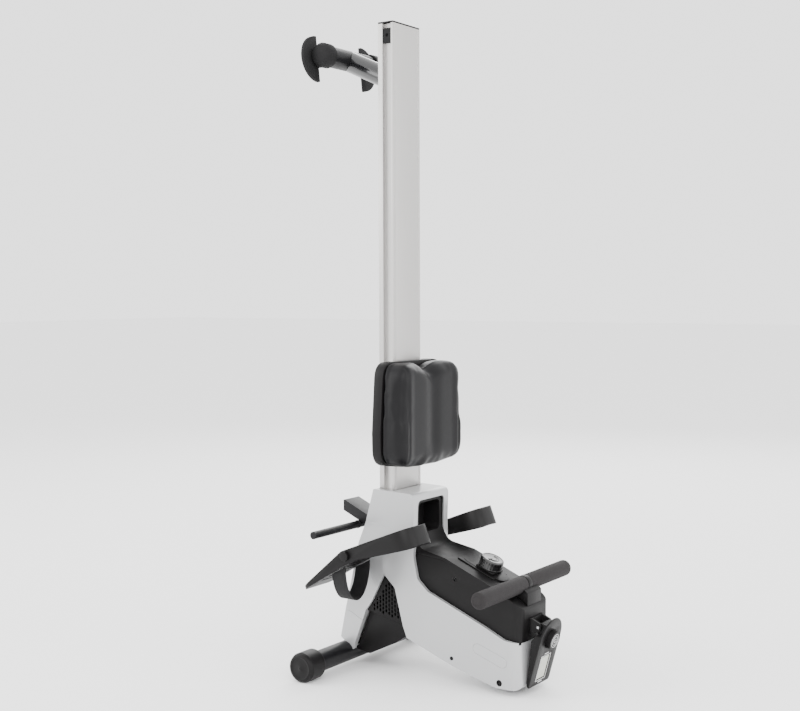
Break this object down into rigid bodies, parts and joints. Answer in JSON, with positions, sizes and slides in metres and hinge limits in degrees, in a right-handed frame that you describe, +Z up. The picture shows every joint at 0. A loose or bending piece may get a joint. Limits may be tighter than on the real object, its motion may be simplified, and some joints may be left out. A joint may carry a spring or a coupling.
{
  "type": "rowing machine",
  "caption": "Magnetic rowing machine stored upright: aluminium rail with sliding seat, silver flywheel housing, foot rests, pull handle, tension knob and tilting monitor.",
  "frame": {"origin": "middle of the footprint box, on the floor that the machine stands on when it is stored upright", "axes": "+Z up along the rail, +X the way the seat and the handle face, -Y the rower's right side"},
  "size_m": [0.6122, 0.5, 1.54],
  "materials": {
    "silver_paint": "satin silver paint over moulded plastic, fine metallic flake",
    "aluminium": "anodised extrusion, fine lengthwise lines",
    "black_plastic": "moulded black plastic, fine texture",
    "gloss_black": "glossy black paint",
    "black_steel": "satin black powder coat",
    "steel": "zinc-plated steel",
    "cast_iron": "turned cast iron",
    "foam": "closed-cell foam, matte skin",
    "vinyl": "moulded black vinyl, fine leather grain",
    "webbing": "woven black webbing",
    "rubber": "matte black rubber",
    "lcd": "grey-green liquid-crystal window"
  },
  "bodies": {
    "body": {"main_frame": "black_steel", "front_stabiliser_tube": "black_steel", "centre_leg": "black_steel", "pedal_stop_bar": "black_steel", "rear_foot_tube": "black_steel", "rear_leg": "gloss_black", "rail": "aluminium", "right_side_shell": "silver_paint", "left_side_shell": "silver_paint", "right_leg_cover": "silver_paint", "left_leg_cover": "silver_paint", "right_stabiliser_cap": "black_plastic", "left_stabiliser_cap": "black_plastic", "rail_end_cap": "black_plastic", "right_vent_grille": "black_plastic", "left_vent_grille": "black_plastic", "under_cover": "black_plastic", "pocket_panel": "black_plastic", "top_cover": "black_plastic", "handle_cradle": "black_plastic", "knob_base": "black_plastic", "monitor_bracket": "black_plastic", "right_lower_stop": "rubber", "left_lower_stop": "rubber", "right_upper_stop": "rubber", "left_upper_stop": "rubber", "right_rear_foot": "rubber", "left_rear_foot": "rubber", "drive_belt": "rubber", "pedal_axle": "steel", "drive_axle": "steel", "monitor_pin": "steel", "wheel_axle": "steel"},
    "seat": {"seat_cushion": "vinyl", "seat_pan": "black_plastic", "seat_carriage": "steel"},
    "right_low_roller": {"right_low_roller": "black_plastic"},
    "right_high_roller": {"right_high_roller": "black_plastic"},
    "left_low_roller": {"left_low_roller": "black_plastic"},
    "left_high_roller": {"left_high_roller": "black_plastic"},
    "right_pedal": {"right_footplate": "black_plastic", "right_instep_strap": "webbing"},
    "left_pedal": {"left_footplate": "black_plastic", "left_instep_strap": "webbing"},
    "handle": {"handle_bar": "black_steel", "right_grip": "foam", "left_grip": "foam", "strap_clip": "black_plastic", "pull_strap": "webbing"},
    "spool": {"strap_spool": "black_plastic"},
    "flywheel": {"flywheel": "cast_iron"},
    "magnet_bracket": {"magnet_bracket": "steel"},
    "knob": {"tension_knob": "black_plastic"},
    "monitor": {"monitor_housing": "black_plastic", "monitor_bezel": "black_plastic", "lcd": "lcd"},
    "mode_button": {"mode_button": "black_plastic"},
    "right_wheel": {"right_transport_wheel": "rubber"},
    "left_wheel": {"left_transport_wheel": "rubber"}
  },
  "joints": [
    {"name": "seat_slide", "type": "slide", "parent": "body", "child": "seat", "axis": [0, 0, 1], "range_m": [0, 0.81]},
    {"name": "right_low_roller_spin", "type": "hinge", "parent": "seat", "child": "right_low_roller", "pos_m": [-0.11584, -0.0532, 0.585], "axis": [0, -1, 0], "range_deg": [-10, 4260]},
    {"name": "right_high_roller_spin", "type": "hinge", "parent": "seat", "child": "right_high_roller", "pos_m": [-0.11584, -0.0532, 0.665], "axis": [0, -1, 0], "range_deg": [-10, 4260]},
    {"name": "left_low_roller_spin", "type": "hinge", "parent": "seat", "child": "left_low_roller", "pos_m": [-0.11584, 0.0532, 0.585], "axis": [0, -1, 0], "range_deg": [-10, 4260]},
    {"name": "left_high_roller_spin", "type": "hinge", "parent": "seat", "child": "left_high_roller", "pos_m": [-0.11584, 0.0532, 0.665], "axis": [0, -1, 0], "range_deg": [-10, 4260]},
    {"name": "right_pedal_pivot", "type": "hinge", "parent": "body", "child": "right_pedal", "pos_m": [-0.13534, -0.148, 0.302], "axis": [0, -1, 0], "range_deg": [-49, 106]},
    {"name": "left_pedal_pivot", "type": "hinge", "parent": "body", "child": "left_pedal", "pos_m": [-0.13534, 0.148, 0.302], "axis": [0, -1, 0], "range_deg": [-49, 106]},
    {"name": "handle_pull", "type": "slide", "parent": "body", "child": "handle", "axis": [0, 0, 1], "range_m": [0, 0.9], "deforming": ["pull_strap"]},
    {"name": "spool_spin", "type": "hinge", "parent": "body", "child": "spool", "pos_m": [0.18866, 0, 0.15], "axis": [0, -1, 0], "range_deg": [-10, 1730]},
    {"name": "flywheel_spin", "type": "hinge", "parent": "body", "child": "flywheel", "pos_m": [0.07566, -0.045, 0.15], "axis": [0, 1, 0], "continuous": true},
    {"name": "tension_knob_turn", "type": "hinge", "parent": "body", "child": "knob", "pos_m": [0.12726, 0, 0.2638], "axis": [0.3811, 0, 0.9245], "range_deg": [0, 270]},
    {"name": "magnet_bracket_tilt", "type": "hinge", "parent": "body", "child": "magnet_bracket", "pos_m": [0.10366, -0.045, 0.227], "axis": [0, 1, 0], "range_deg": [0, 10.1]},
    {"name": "monitor_tilt", "type": "hinge", "parent": "body", "child": "monitor", "pos_m": [0.27266, 0, 0.158], "axis": [0, -1, 0], "range_deg": [0, 90]},
    {"name": "mode_button_press", "type": "slide", "parent": "monitor", "child": "mode_button", "axis": [-0.9632, 0, 0.2689], "range_m": [0, 0.0015], "stiffness_N_per_m": 800, "springref_m": -0.0005},
    {"name": "right_wheel_spin", "type": "hinge", "parent": "body", "child": "right_wheel", "pos_m": [0.19866, -0.019, 0.0305], "axis": [0, 1, 0], "continuous": true},
    {"name": "left_wheel_spin", "type": "hinge", "parent": "body", "child": "left_wheel", "pos_m": [0.19866, 0.019, 0.0305], "axis": [0, 1, 0], "continuous": true}
  ],
  "couplings": [
    {"joint": "right_low_roller_spin", "follows": "seat_slide", "rad_per_m": 90.909},
    {"joint": "right_high_roller_spin", "follows": "seat_slide", "rad_per_m": 90.909},
    {"joint": "left_low_roller_spin", "follows": "seat_slide", "rad_per_m": 90.909},
    {"joint": "left_high_roller_spin", "follows": "seat_slide", "rad_per_m": 90.909},
    {"joint": "spool_spin", "follows": "handle_pull", "rad_per_m": 33.333},
    {"joint": "magnet_bracket_tilt", "follows": "tension_knob_turn", "ratio": 0.037037}
  ]
}
